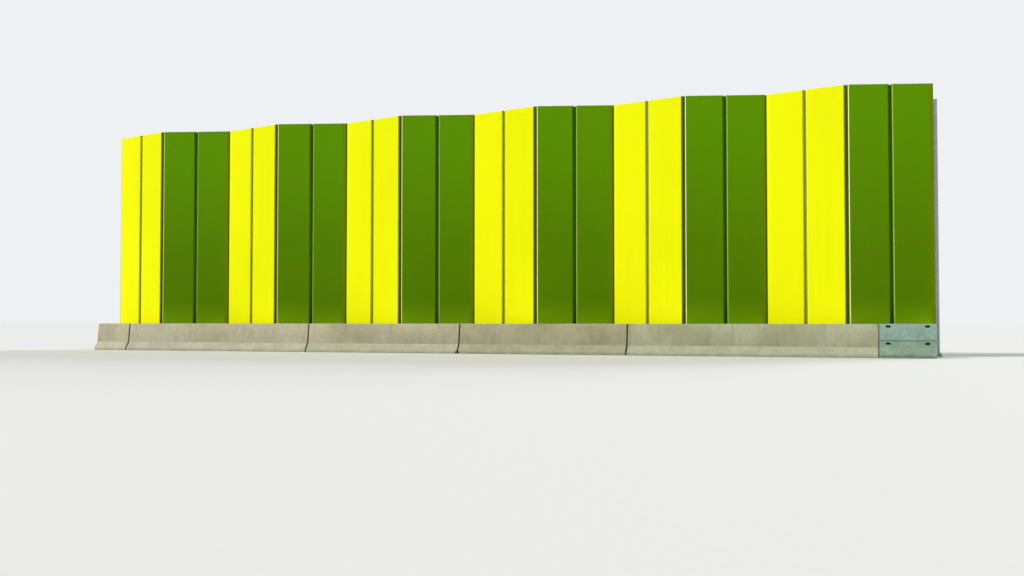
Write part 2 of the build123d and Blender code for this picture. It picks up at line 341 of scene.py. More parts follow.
def pores(surface):
    """Small blow holes, sparse and of uneven size."""
    holes = surface.cells(38.0)
    sparse = surface.span(surface.noise(9.0, 2.0), 0.5, 0.62)
    depth = surface.span(holes, 0.06, 0.16)
    return surface.highest(depth, surface.math("SUBTRACT", 1.0, sparse))


def slab_face(surface, paint, from_valley, grain, flecks):
    """Colour of a slab's coated face."""
    clouds = surface.noise(0.45, 4.0, 0.5)
    runs = surface.runs(7.0, 0.22, 5.0, 0.6)
    own = surface.node("ShaderNodeObjectInfo").outputs["Random"]
    level = surface.product(
        surface.span(clouds, 0.3, 0.7, 0.975, 1.02),
        surface.span(runs, 0.3, 0.72, 0.98, 1.012),
        surface.span(grain, 0.3, 0.7, 0.985, 1.012),
        surface.span(own, 0.0, 1.0, 0.985, 1.012),
    )
    face = surface.shaded(paint["face"], level)

    # Faint drips below the top
    under_top = surface.span(surface.z, wall_top - DRIP_LENGTH, wall_top)
    drips = surface.span(runs, 0.52, 0.7)
    face = surface.mix(surface.product(under_top, drips, 0.06), face, tint(96, 98, 40))

    # Painted light and shade: the head's tone, bounce light at the foot and beside the valley, and
    # shade in the valley's corner
    high = surface.span(surface.z, HEAD_LIGHT_START, wall_top, 0.0, 0.8)
    face = surface.mix(high, face, paint["head"])
    nearness = surface.span(surface.z, paint["foot_bounce_reach"], barrier_top, curve="LINEAR")
    low = surface.math("POWER", nearness, paint["foot_bounce_curve"])
    foot_bounce_light = surface.product(low, surface.span(flecks, 0.3, 0.75, 0.85, 1.0))
    face = surface.mix(foot_bounce_light, face, paint["foot"])
    face = surface.mix(surface.near(from_valley, VALLEY_BOUNCE_WIDE, paint["wash"]), face, paint["valley"])
    face = surface.mix(surface.near(from_valley, VALLEY_BOUNCE_CLOSE, 0.85), face, paint["valley"])
    return surface.mix(surface.near(from_valley, VALLEY_SHADE_STRIP), face, paint["corner"])


def slab_edges(surface, paint, from_valley, bare, flecks):
    """Colours of a slab's bevels, painted lit where they face left and shaded where they face right, and
    of its sides in the joints, whose paint, in painted shade, ends part way in.
    """
    at_ridge = surface.near_ridge(from_valley, FOLD_REACH)
    worn = surface.span(surface.noise(17.0, 6.0, 0.8), 0.44, 0.62)
    # Painted light and shade: a lit tone with pale wear on the bevels that face left, a shaded tone on
    # those that face right, and a darker shaded tone in the joints, each with its own at a ridge
    joint_shade = surface.mix(at_ridge, paint["joint"], paint["ridge_joint"])
    sunny = surface.mix(at_ridge, paint["lit"], paint["ridge_lit"])
    sunny = surface.mix(surface.product(worn, 0.35), sunny, tint(206, 206, 116))
    shady = surface.mix(at_ridge, paint["shaded"], paint["ridge_shaded"])
    shady = surface.mix(surface.product(worn, 0.5), shady, joint_shade)
    edge = surface.mix(surface.span(surface.facing_x, -0.2, 0.2), sunny, shady)

    # Painted shade on the inner strip of the bevels beside a joint's middle and a ridge, and on the
    # bevels in the valley's corner
    joint_line = (valley_setback + slab_width + SLAB_JOINT / 2) * fold_cos
    from_joint = surface.absolute(surface.math("SUBTRACT", from_valley, joint_line))
    groove_shade = surface.highest(
        surface.near(from_joint, JOINT_SHADE_STRIP),
        surface.near_ridge(from_valley, RIDGE_SHADE_STRIP),
    )
    edge = surface.mix(groove_shade, edge, joint_shade)
    edge = surface.mix(surface.near(from_valley, VALLEY_SHADE_BEVELS), edge, paint["corner"])

    # The joints' sides: their paint, in painted shade with darker patches, ends at a ragged depth, and
    # bare concrete lies beyond
    face_line = surface.math("SUBTRACT", valley_line, surface.product(from_valley, slope))
    depth = surface.product(surface.math("SUBTRACT", surface.y, face_line), fold_cos)
    ragged = surface.total(depth, surface.product(flecks, 0.03))
    side = surface.mix(surface.product(worn, 0.35), joint_shade, tint(70, 76, 10))
    side = surface.mix(surface.span(ragged, *PAINT_DEPTH), side, bare)
    return edge, side


def slab_back(surface, bare, flecks):
    """Bare back with stains that start below each rail, and damp at the foot."""
    stain_runs = surface.runs(11.0, 0.5, 4.0, 0.6)
    above_stain = surface.math("SUBTRACT", surface.z, LOWEST_RAIL - STAIN_DROP)
    rail_share = surface.math("FRACT", surface.math("DIVIDE", above_stain, RAIL_SPACING))
    stain = surface.product(
        surface.span(rail_share, 0.6, 1.0),
        surface.span(stain_runs, 0.5, 0.72, 0.0, 0.55),
    )
    back = surface.mix(stain, bare, tint(112, 100, 78))
    ragged_height = surface.total(surface.z, surface.product(flecks, 0.4))
    return surface.mix(surface.near(ragged_height, DAMP_REACH, 0.5), back, tint(96, 92, 76))


def painted_slab(name, paint, face_normal):
    """Precast slab, coated on the road face and in the joints, and bare behind and on top.

    paint holds the colours of the face, of its head in painted light, of its foot and its side at a
    valley in painted bounce light and of the painted shade strip there, then those of the bevels in
    painted light and shade and of the painted shade in the joints, and of the same at a ridge. The
    foot's reach is how high its painted bounce light goes, and its curve how fast it fades. wash
    is how much of the valley's painted bounce light reaches over the whole face.
    """
    surface = Surface(name)
    grain = surface.noise(140.0, 3.0, 0.7)
    flecks = surface.noise(26.0, 5.0, 0.75)
    from_valley = surface.math("PINGPONG", surface.x, BAY / 2)
    bare = raw_concrete(surface, tint(182, 178, 166), tint(158, 154, 142))
    face = slab_face(surface, paint, from_valley, grain, flecks)
    edge, side = slab_edges(surface, paint, from_valley, bare, flecks)

    on_side = surface.towards(face_normal, -0.6, -0.5)
    on_bevel = surface.towards(face_normal, 0.5, 0.6)
    on_face = surface.towards(face_normal, 0.9, 0.96)
    colour = surface.mix(on_side, slab_back(surface, bare, flecks), side)
    colour = surface.mix(on_bevel, colour, edge)
    colour = surface.mix(surface.span(surface.facing_z, 0.5, 0.6), colour, face)
    colour = surface.mix(surface.span(surface.facing_z, 0.9, 0.96), colour, bare)
    colour = surface.mix(on_face, colour, face)

    relief = surface.relief(
        (surface.noise(1.6, 3.0, 0.5), 0.002),
        (pores(surface), 0.0012),
        (surface.total(grain, flecks), 0.0005),
    )
    roughness = surface.span(flecks, 0.25, 0.75, 0.62, 0.8)
    return surface.finish(colour, roughness, relief, Specular_IOR_Level=0.04)


def unit_shade(surface):
    """Shade of the barrier unit that a point is on, in steps along the wall."""
    share = surface.math("DIVIDE", surface.total(surface.x, half_wall), 2 * half_wall)
    entries = []
    for number in sorted(UNIT_SHADES, reverse=True):
        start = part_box(f"barrier_unit_{number}")[0].x - END_CLEARANCE
        entries.append((max(0.0, (start + half_wall) / (2 * half_wall)), UNIT_SHADES[number]))
    return surface.steps(share, entries)


def broken_corners(surface):
    """1 on the broken corners at a barrier joint, which slant to either side."""
    slants = []
    for side in (-1, 1):
        slant = Vector((side / SPALL_WIDTH, -1 / SPALL_DEPTH, -1 / SPALL_HEIGHT)).normalized()
        slants.append(surface.towards(slant, 0.95, 0.98))
    return surface.highest(*slants)


def barrier_concrete(name):
    """Weathered precast concrete: darker upper face, dusty lower slope, each unit its own shade."""
    surface = Surface(name)
    clouds = surface.noise(0.9, 6.0, 0.65)
    patches = surface.noise(2.6, 5.0, 0.7)
    runs = surface.runs(9.0, 0.9, 5.0, 0.65)
    grain = surface.noise(120.0, 4.0, 0.75)
    flecks = surface.noise(24.0, 5.0, 0.8)
    streaks = surface.span(runs, 0.5, 0.72, 0.0, 0.34)

    # Upper face, with brown patches and streaks, and paler towards its top
    upper = surface.mottled(clouds, 0.36, 0.66, tint(180, 171, 143), tint(202, 194, 166))
    browned = surface.span(patches, 0.54, 0.72, 0.0, 0.26)
    upper = surface.mix(browned, upper, tint(163, 149, 119))
    upper = surface.mix(streaks, upper, tint(147, 138, 113))
    upper = surface.shaded(upper, surface.span(surface.z, KNEE_HEIGHT, barrier_top, 0.95, 1.1))

    # Lower slope and top
    lower = surface.mottled(patches, 0.38, 0.66, tint(188, 183, 159), tint(203, 198, 173))
    lower = surface.mix(surface.product(streaks, 0.5), lower, tint(160, 152, 124))
    on_slope = surface.product(
        surface.towards((0.0, -1.0, 0.0), 0.3, 0.5),
        surface.span(surface.z, KNEE_HEIGHT + 0.003, KNEE_HEIGHT - 0.003),
    )
    colour = surface.mix(on_slope, upper, lower)
    on_top = surface.span(surface.facing_z, 0.85, 0.95, 0.0, 0.8)
    colour = surface.mix(on_top, colour, tint(198, 194, 178))

    # Pale arrises round the ends, end faces darkened as painted shade in the joints but for the far
    # end of the run, broken corners
    sideways = surface.absolute(surface.facing_x)
    colour = surface.mix(surface.span(sideways, 0.45, 0.6, 0.0, 0.6), colour, tint(196, 192, 166))
    joint_end_shade = surface.product(
        surface.span(sideways, 0.9, 0.97),
        surface.span(surface.x, END_CLEARANCE - half_wall, 2 * END_CLEARANCE - half_wall),
    )
    colour = surface.mix(joint_end_shade, colour, tint(56, 54, 43))
    broken = broken_corners(surface)
    stone_scale = 55.0
    rubble = surface.mix(0.3, tint(150, 138, 112), surface.cells(stone_scale, "Color"), "MULTIPLY")
    colour = surface.mix(broken, colour, rubble)

    # Grime at the foot, specks, and the unit's own shade
    wavy_height = surface.total(surface.z, surface.product(surface.noise(5.0, 5.0), 0.05))
    colour = surface.mix(surface.near(wavy_height, GRIME_REACH, 0.55), colour, tint(104, 98, 82))
    speckle = surface.product(
        surface.span(flecks, 0.25, 0.75, 0.9, 1.08),
        surface.span(grain, 0.3, 0.7, 0.95, 1.05),
    )
    colour = surface.shaded(colour, speckle)
    colour = surface.mix(1.0, colour, unit_shade(surface), "MULTIPLY")

    relief = surface.relief(
        (surface.noise(2.2, 4.0), 0.004),
        (pores(surface), 0.0025),
        (surface.total(grain, flecks), 0.0012),
        (surface.product(surface.cells(stone_scale), broken), 0.012),
    )
    roughness = surface.span(patches, 0.3, 0.7, 0.78, 0.92)
    return surface.finish(colour, roughness, relief, Specular_IOR_Level=0.25)


def galvanised(name, light, dark, scale, wear):
    """Dull zinc coat with spangle of a scale, pale bloom, and thin brown runs as strong as wear."""
    surface = Surface(name)
    spangle = surface.spangle(scale)
    bloom = surface.noise(3.2, 6.0, 0.7)
    runs = surface.runs(22.0, 0.8, 5.0, 0.65)
    grain = surface.noise(260.0, 3.0, 0.6)

    colour = surface.mottled(spangle, 0.1, 0.9, dark, light)
    colour = surface.mix(surface.span(bloom, 0.5, 0.72, 0.0, 0.6), colour, tint(196, 200, 198))
    colour = surface.mix(surface.span(runs, 0.6, 0.76, 0.0, wear), colour, tint(128, 92, 58))
    ragged_height = surface.total(surface.z, surface.product(bloom, 0.2))
    colour = surface.mix(surface.near(ragged_height, (0.08, 0.26), 0.4), colour, tint(120, 112, 96))

    relief = surface.relief((bloom, 0.0008), (spangle, 0.00012), (grain, 0.0001))
    roughness = surface.total(
        surface.span(spangle, 0.0, 1.0, 0.46, 0.54),
        surface.span(bloom, 0.5, 0.72, 0.0, 0.18),
    )
    return surface.finish(colour, roughness, relief, Metallic=0.75)


def sheet_steel(name):
    """Blue-grey plate of the closing section, greener and duller below the lap, with painted shadow just
    under the lap's edge.
    """
    surface = Surface(name)
    clouds = surface.noise(4.5, 6.0, 0.7)
    spangle = surface.spangle(60.0)
    runs = surface.runs(16.0, 1.4, 5.0, 0.6)
    upper = surface.mottled(clouds, 0.34, 0.68, tint(129, 158, 143), tint(155, 180, 165))
    lower = surface.mottled(clouds, 0.34, 0.68, tint(127, 152, 128), tint(149, 170, 146))
    colour = surface.mix(surface.span(surface.z, LAP_HEIGHT - 0.004, LAP_HEIGHT), lower, upper)
    # Painted shadow in a thin dark band just under the lap's edge
    shade_under_lap = surface.product(
        surface.span(surface.z, LAP_HEIGHT - 0.03, LAP_HEIGHT - 0.008),
        surface.span(surface.z, LAP_HEIGHT + 0.001, LAP_HEIGHT - 0.001),
        0.75,
    )
    colour = surface.mix(shade_under_lap, colour, tint(62, 72, 60))
    colour = surface.shaded(colour, surface.span(spangle, 0.0, 1.0, 0.95, 1.05))
    colour = surface.mix(surface.span(runs, 0.56, 0.76, 0.0, 0.4), colour, tint(104, 112, 98))
    ragged_height = surface.total(surface.z, surface.product(clouds, 0.14))
    colour = surface.mix(surface.near(ragged_height, (0.06, 0.2), 0.6), colour, tint(96, 94, 78))

    relief = surface.relief((clouds, 0.0015), (spangle, 0.0001))
    roughness = surface.span(clouds, 0.3, 0.7, 0.45, 0.62)
    return surface.finish(colour, roughness, relief, Metallic=0.45)


def seal_rubber(name):
    """Weathered seal with dust and slight ribs, in its face's paint hue darkened as painted shade on the
    road side, and bare behind.
    """
    surface = Surface(name)
    dust = surface.noise(14.0, 5.0, 0.7)
    runs = surface.runs(30.0, 1.2, 4.0, 0.6)
    from_valley = surface.math("PINGPONG", surface.x, BAY / 2)
    bay_share = surface.math("FRACT", surface.math("DIVIDE", surface.total(surface.x, half_wall), BAY))
    # Painted shade: the road side takes the paint of the face it lies in, darkened to the shade in the
    # joint, darker at a ridge and lighter at a valley
    paint = surface.mix(surface.span(bay_share, 0.49, 0.51), tint(160, 168, 1), tint(62, 108, 1))
    paint = surface.mix(surface.near_ridge(from_valley, FOLD_REACH), paint, tint(78, 88, 1))
    paint = surface.mix(surface.near(from_valley, FOLD_REACH), paint, tint(106, 118, 2))
    paint = surface.mix(surface.span(dust, 0.45, 0.7, 0.0, 0.35), paint, tint(88, 94, 10))
    paint = surface.mix(surface.span(runs, 0.5, 0.7, 0.0, 0.35), paint, tint(42, 48, 4))
    bare = surface.mottled(dust, 0.4, 0.7, tint(52, 52, 48), tint(84, 82, 74))
    colour = surface.mix(surface.towards((0.0, 1.0, 0.0), 0.3, 0.6), paint, bare)
    relief = surface.relief((surface.noise(60.0, 4.0), 0.001))
    roughness = surface.span(dust, 0.3, 0.7, 0.7, 0.9)
    return surface.finish(colour, roughness, relief, Specular_IOR_Level=0.15)


def mortar(name):
    """Patch mortar of the lifting pockets, a little darker than the concrete round it."""
    surface = Surface(name)
    colour = raw_concrete(surface, tint(158, 154, 142), tint(124, 120, 108))
    relief = surface.relief((surface.noise(70.0, 4.0, 0.8), 0.0015))
    roughness = surface.span(surface.noise(22.0), 0.3, 0.7, 0.8, 0.93)
    return surface.finish(colour, roughness, relief, Specular_IOR_Level=0.25)


def plug_plastic(name):
    """Grey moulded plugs of the brace sockets."""
    surface = Surface(name)
    fade = surface.noise(30.0, 4.0, 0.6)
    colour = surface.mottled(fade, 0.35, 0.7, tint(92, 94, 92), tint(128, 130, 126))
    relief = surface.relief((surface.noise(300.0, 2.0), 0.0002))
    roughness = surface.span(fade, 0.3, 0.7, 0.45, 0.62)
    return surface.finish(colour, roughness, relief, Specular_IOR_Level=0.4)


def floor_paint(name):
    """Nearly even pale paint of the floor."""
    surface = Surface(name)
    grain = surface.noise(18.0, 3.0)
    colour = surface.mottled(grain, 0.3, 0.7, tint(223, 223, 221), tint(225, 225, 223))
    relief = surface.relief((grain, 0.00005))
    roughness = surface.span(grain, 0.3, 0.7, 0.82, 0.86)
    return surface.finish(colour, roughness, relief, Specular_IOR_Level=0.05)


def skin(rows, sides, closed=False):
    """Faces of a tube of rows of points, with a cap on either end unless it closes on itself."""
    faces = []
    for row in range(rows if closed else rows - 1):
        here = row * sides
        following = (row + 1) % rows * sides
        for step in range(sides):
            beside = (step + 1) % sides
            faces.append((here + step, here + beside, following + beside, following + step))
    if not closed:
        faces.append(tuple(reversed(range(sides))))
        faces.append(tuple(range((rows - 1) * sides, rows * sides)))
    return faces


def turned(profile, sides, closed=False, hexagonal=()):
    """Solid of revolution about Z from (radius, height) rows, some of them hexagons."""
    points = []
    for row, (radius, height) in enumerate(profile):
        for step in range(sides):
            angle = 2 * math.pi * step / sides
            reach = radius
            if row in hexagonal:
                reach = radius / math.cos(math.fmod(angle, math.pi / 3) - math.pi / 6)
            points.append(Vector((reach * math.cos(angle), reach * math.sin(angle), height)))
    return points, skin(len(profile), sides, closed)


def nut(across_flats, height, bore):
    """Hexagon nut with both faces chamfered."""
    flat = across_flats / 2
    bevel = across_flats * 0.05
    profile = (
        (bore / 2, 0.0),
        (flat, 0.0),
        (flat, bevel),
        (flat, height - bevel),
        (flat, height),
        (bore / 2, height),
    )
    return turned(profile, sides=12, closed=True, hexagonal=(2, 3))


def washer(radius, bore, thickness):
    """Flat washer with a broken upper edge."""
    edge = thickness * 0.2
    profile = (
        (bore / 2, 0.0),
        (radius, 0.0),
        (radius, thickness - edge),
        (radius - edge, thickness),
        (bore / 2, thickness),
    )
    return turned(profile, sides=20, closed=True)


def threaded_rod(diameter, pitch, start, thread_start, end):
    """Rod along Z with a plain shank, then one helical thread and a chamfered tip."""
    sides = 12
    rows_per_turn = 3
    depth = pitch * 0.55
    rows = round((end - thread_start) / pitch * rows_per_turn) + 2
    points = []
    for row in range(rows):
        height = start if row == 0 else thread_start + (row - 1) * pitch / rows_per_turn
        tip = min(1.0, (end - height) / (2 * depth))
        for step in range(sides):
            angle = 2 * math.pi * step / sides
            phase = (height / pitch - step / sides) % 1.0
            thread = diameter / 2 - depth * abs(2 * phase - 1)
            radius = min(thread, diameter / 2 - depth * (1 - tip))
            if row < 2:
                radius = diameter / 2 - depth / 2
            points.append(Vector((radius * math.cos(angle), radius * math.sin(angle), height)))
    return points, skin(rows, sides)


def plate_washer(side, thickness):
    """Square plate with bevelled upper edges, centred on Z."""
    half = side / 2
    bevel = thickness * 0.3
    rows = ((half, 0.0), (half, thickness - bevel), (half - bevel, thickness))
    corners = ((-1, -1), (1, -1), (1, 1), (-1, 1))
    points = [Vector((x * reach, y * reach, height)) for reach, height in rows for x, y in corners]
    return points, skin(len(rows), len(corners))


def bead(start, end, first, second):
    """Rippled fillet weld in the corner from start to end, with legs along first and second."""
    run = end - start
    first = Vector(first)
    second = Vector(second)
    rows = max(2, round(run.length / WELD_RIPPLE)) + 1
    points = []
    for row in range(rows):
        centre = start + run * (row / (rows - 1))
        leg = WELD_LEG * (1.0 if row % 2 else WELD_DIP)
        section = [
            centre,
            centre + first * leg,
            centre + (first + second) * leg * WELD_CROWN,
            centre + second * leg,
        ]
        if first.cross(second).dot(run) < 0:
            section.reverse()
        points.extend(section)
    return points, skin(rows, len(section))


class Batch:
    """Many copies of small pieces, gathered into one mesh."""

    def __init__(self):
        self.points = []
        self.faces = []

    def add(self, piece, matrix=Matrix.Identity(4)):
        points, faces = piece
        offset = len(self.points)
        self.points.extend(matrix @ point for point in points)
        self.faces.extend(tuple(index + offset for index in face) for face in faces)

    def build(self, name, material):
        mesh = bpy.data.meshes.new(name)
        mesh.from_pydata(self.points, [], self.faces)
        mesh.validate()
        mesh.shade_smooth()
        mesh.set_sharp_from_angle(angle=SHARP_ANGLE)
        mesh.materials.append(material)
        piece = bpy.data.objects.new(name, mesh)
        bpy.context.scene.collection.objects.link(piece)
        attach(piece, "root")


def post_places():
    """Place and fold of every post: turn is +1 at a ridge and -1 at a valley."""
    places = []
    for name in sorted(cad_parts):
        if "_post_" in name:
            low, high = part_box(name)
            turn = 1 if name.startswith("ridge") else -1
            places.append((Vector(((low.x + high.x) / 2, (low.y + high.y) / 2, 0.0)), turn))
    return places


def post_sides(place):
    """The sides of a post that carry rails."""
    return [side for side in (-1, 1) if abs(place.x + side * BAY / 2) < half_wall + 0.01]


def face_frames():
    """Matrix of each flat face, with +X along it and +Y into the wall, and its first slab's start."""
    frames = []
    for bay in range(bay_count):
        valley = bay * BAY - half_wall
        yellow_start = Matrix.Translation((valley, valley_line, 0))
        green_start = Matrix.Translation((valley + BAY / 2, ridge_line, 0))
        frames.append((yellow_start @ Matrix.Rotation(-fold_angle, 4, "Z"), valley_setback))
        frames.append((green_start @ Matrix.Rotation(fold_angle, 4, "Z"), ridge_setback))
    return frames


def slab_spots(share):
    """Face's matrix and place along it, at a share of a slab's width either side of its middle."""
    for place, first in face_frames():
        for start in (first, first + slab_width + SLAB_JOINT):
            for side in (-1, 1):
                yield place, start + slab_width / 2 + side * share * slab_width, side


def lifted(height):
    return Matrix.Translation((0, 0, height))


def spun(degrees):
    return Matrix.Rotation(math.radians(degrees), 4, "Z")


INTO_WALL = Matrix.Rotation(math.radians(-90), 4, "X")


def add_anchors(material):
    """Holding-down rods with washer, nut and lock nut on every foot plate."""
    plate_top = BASE_PLATE
    washer_thickness = 0.004
    nut_height = 0.0215
    across_flats = 0.036
    nut_bore = 0.0225
    lock_gap = 0.0007
    rod = threaded_rod(diameter=0.024, pitch=0.003, start=0.002, thread_start=plate_top + 0.036,
                       end=plate_top + 0.066)
    big_washer = washer(radius=0.022, bore=0.025, thickness=washer_thickness)
    full_nut = nut(across_flats, nut_height, nut_bore)
    lock_nut = nut(across_flats, height=0.012, bore=nut_bore)
    nut_foot = plate_top + washer_thickness
    lock_foot = nut_foot + nut_height + lock_gap
    fittings = Batch()
    for place, _ in post_places():
        for across in (-1, 1):
            for into in (-1, 1):
                x = across * (base_width / 2 - ANCHOR_EDGE)
                y = into * (base_length / 2 - ANCHOR_EDGE)
                spot = Matrix.Translation(place + Vector((x, y, 0)))
                turn = 17 * (across + 2 * into)
                fittings.add(rod, spot)
                fittings.add(big_washer, spot @ lifted(plate_top))
                fittings.add(full_nut, spot @ lifted(nut_foot) @ spun(turn))
                fittings.add(lock_nut, spot @ lifted(lock_foot) @ spun(2 * turn))
    fittings.build("anchor_fittings", material)


def add_rail_fixings(material):
    """Bolts with plate washers that hold the slabs to the rails, two a slab on each rail."""
    washer_thickness = 0.006
    plate = plate_washer(side=0.05, thickness=washer_thickness)
    small_nut = nut(across_flats=0.024, height=0.0148, bore=0.0155)
    stud = threaded_rod(diameter=0.016, pitch=0.002, start=0.0, thread_start=0.019, end=0.03)
    fixings = Batch()
    for place, along, side in slab_spots(1 / 4):
        for number, level in enumerate(rail_levels):
            spot = place @ Matrix.Translation((along, rail_web_back, level)) @ INTO_WALL
            fixings.add(plate, spot)
            fixings.add(small_nut, spot @ lifted(washer_thickness) @ spun(13 * number + 20 * side))
            fixings.add(stud, spot)
    fixings.build("slab_fixings", material)


def add_rail_studs(material):
    """Studs from the rails through their seats, with nuts behind the post's front flange."""
    washer_thickness = 0.0035
    round_washer = washer(radius=0.018, bore=0.0205, thickness=washer_thickness)
    full_nut = nut(across_flats=0.03, height=0.018, bore=0.0185)
    flange_back = -POST_DEPTH / 2 + POST_FLANGE
    stud_end = flange_back + 0.034
    thread_length = 0.016
    fixings = Batch()
    for place, turn in post_places():
        fold_line = ridge_line if turn > 0 else valley_line
        web = fold_line + turn * STUD_OFFSET * slope + rail_web_back / fold_cos
        length = place.y + stud_end - web
        stud = threaded_rod(diameter=0.02, pitch=0.0025, start=0.0,
                            thread_start=length - thread_length, end=length)
        for level in rail_levels:
            for side in post_sides(place):
                x = place.x + side * STUD_OFFSET
                seat = Matrix.Translation((x, place.y + flange_back, level)) @ INTO_WALL
                fixings.add(stud, Matrix.Translation((x, web, level)) @ INTO_WALL)
                fixings.add(round_washer, seat)
                fixings.add(full_nut, seat @ lifted(washer_thickness))
    fixings.build("rail_studs", material)


def add_end_welds(welds, place):
    """Welds round the post's section, on its foot plate and under its cap."""
    half_width = POST_WIDTH / 2
    half_depth = POST_DEPTH / 2
    inner = half_depth - POST_FLANGE
    web = POST_WEB / 2
    for height, rise in ((BASE_PLATE, 1), (post_top, -1)):
        for side in (-1, 1):
            runs = (
                ((-half_width, side * half_depth), (half_width, side * half_depth), (0, side)),
                ((side * half_width, -half_depth), (side * half_width, -inner), (side, 0)),
                ((side * half_width, inner), (side * half_width, half_depth), (side, 0)),
                ((side * web, -inner), (side * web, inner), (side, 0)),
                ((side * web, inner), (side * half_width, inner), (0, -1)),
                ((side * web, -inner), (side * half_width, -inner), (0, 1)),
            )
            for start, end, out in runs:
                start = place + Vector((*start, height))
                end = place + Vector((*end, height))
                welds.add(bead(start, end, (*out, 0), (0, 0, rise)))


def add_gusset_welds(welds, place):
    """Welds of the gussets to the foot plate and to the post."""
    for side in (-1, 1):
        flange = side * POST_DEPTH / 2
        for face in (-1, 1):
            x = face * GUSSET_THICKNESS / 2
            heel = place + Vector((x, flange + side * GUSSET_SNIPE, BASE_PLATE))
            toe = place + Vector((x, flange + side * GUSSET_REACH, BASE_PLATE))
            foot = place + Vector((x, flange, BASE_PLATE + GUSSET_SNIPE))
            top = place + Vector((x, flange, BASE_PLATE + GUSSET_HEIGHT))
            welds.add(bead(heel, toe, (face, 0, 0), (0, 0, 1)))
            welds.add(bead(foot, top, (face, 0, 0), (0, side, 0)))


def add_seat_welds(welds, place):
    """Welds above and below each rail seat."""
    for level in rail_levels:
        for side in post_sides(place):
            for rise in (-1, 1):
                height = level + rise * BRACKET_HEIGHT / 2
                start = place + Vector((0, -POST_DEPTH / 2, height))
                end = place + Vector((side * POST_WIDTH / 2, -POST_DEPTH / 2, height))
                welds.add(bead(start, end, (0, 0, rise), (0, -1, 0)))


def add_post_welds(material):
    """Fillet welds round the post's foot, its cap, the gussets and the rail seats."""
    welds = Batch()
    for place, _ in post_places():
        add_end_welds(welds, place)
        add_gusset_welds(welds, place)
        add_seat_welds(welds, place)
    welds.build("post_welds", material)


def add_slab_plugs(material, plug_material):
    """Mortar plugs over the lifting anchors on the slab tops, and plugs in the brace sockets."""
    top_middle = SLAB_DEPTH / 2 + 0.006
    pocket_profile = (
        (0.03, -0.001),
        (0.0295, 0.0012),
        (0.022, 0.0024),
        (0.008, 0.003),
    )
    socket_profile = (
        (0.03, -0.001),
        (0.03, 0.003),
        (0.027, 0.0045),
        (0.013, 0.0045),
        (0.011, 0.002),
        (0.004, 0.002),
    )
    pocket = turned(pocket_profile, sides=20)
    socket = turned(socket_profile, sides=20)
    pockets = Batch()
    sockets = Batch()
    for place, along, _ in slab_spots(SLAB_LIFTING_SHARE):
        pockets.add(pocket, place @ Matrix.Translation((along, top_middle, wall_top)))
        for height in BRACE_HEIGHTS:
            sockets.add(socket, place @ Matrix.Translation((along, SLAB_DEPTH, height)) @ INTO_WALL)
    pockets.build("lifting_plugs", material)
    sockets.build("brace_plugs", plug_material)


def add_barrier_plugs(material):
    """Mortar plugs over the lifting anchors of the barrier units."""
    profile = (
        (0.045, -0.001),
        (0.044, 0.001),
        (0.03, 0.0022),
        (0.01, 0.003),
    )
    plug = turned(profile, sides=24)
    middle = barrier_front + BARRIER_WIDTH / 2
    plugs = Batch()
    for name in sorted(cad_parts):
        if name.startswith("barrier_unit_"):
            low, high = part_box(name)
            for share in UNIT_LIFTING_SHARES:
                x = low.x + (high.x - low.x) * share
                plugs.add(plug, Matrix.Translation((x, middle, barrier_top)))
    plugs.build("barrier_lifting_plugs", material)


def add_lap_screws(material):
    """Button-head screws along the lap of the steel closing section."""
    profile = (
        (0.011, -0.001),
        (0.011, 0.0018),
        (0.0092, 0.0044),
        (0.006, 0.0058),
        (0.0042, 0.0058),
        (0.0042, 0.0032),
    )
    head = turned(profile, sides=16)
    low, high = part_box("barrier_cover")
    height = LAP_HEIGHT + LAP_SCREW_RISE
    y = barrier_front - (barrier_top - height) / math.tan(UPPER_SLOPE) - LAP_PLATE
    lean = Matrix.Rotation(math.pi - UPPER_SLOPE, 4, "X")
    run = high.x - low.x - 2 * LAP_SCREW_INSET
    screws = Batch()
    for step in range(LAP_SCREWS):
        x = low.x + LAP_SCREW_INSET + run * step / (LAP_SCREWS - 1)
        screws.add(head, Matrix.Translation((x, y, height)) @ lean)
    screws.build("lap_screws", material)


def coat_nodes(materials):
    """Gives every CAD node the finish of its kind."""
    for name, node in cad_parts.items():
        kind = next(key for key in materials if name.startswith(key))
        node.data.materials.clear()
        node.data.materials.append(materials[kind])


def add_stage():
    """Wide pale floor just under the feet."""
    turns = [2 * math.pi * step / FLOOR_SIDES for step in range(FLOOR_SIDES)]
    rim = [(FLOOR_REACH * math.cos(turn), FLOOR_REACH * math.sin(turn), FLOOR_LEVEL) for turn in turns]
    mesh = bpy.data.meshes.new("stage_floor")
    mesh.from_pydata(rim, [], [tuple(range(FLOOR_SIDES))])
    mesh.materials.append(floor_paint("floor_paint"))
    floor = bpy.data.objects.new("stage_floor", mesh)
    bpy.context.scene.collection.objects.link(floor)


def add_sun(name, towards, strength, softness):
    """Distant lamp that stands in a direction, as wide as its softness in degrees."""
    lamp = bpy.data.lights.new(name, "SUN")
    lamp.energy = strength
    lamp.angle = math.radians(softness)
    holder = bpy.data.objects.new(name, lamp)
    holder.rotation_euler = Vector(towards).to_track_quat("Z", "Y").to_euler()
    bpy.context.scene.collection.objects.link(holder)


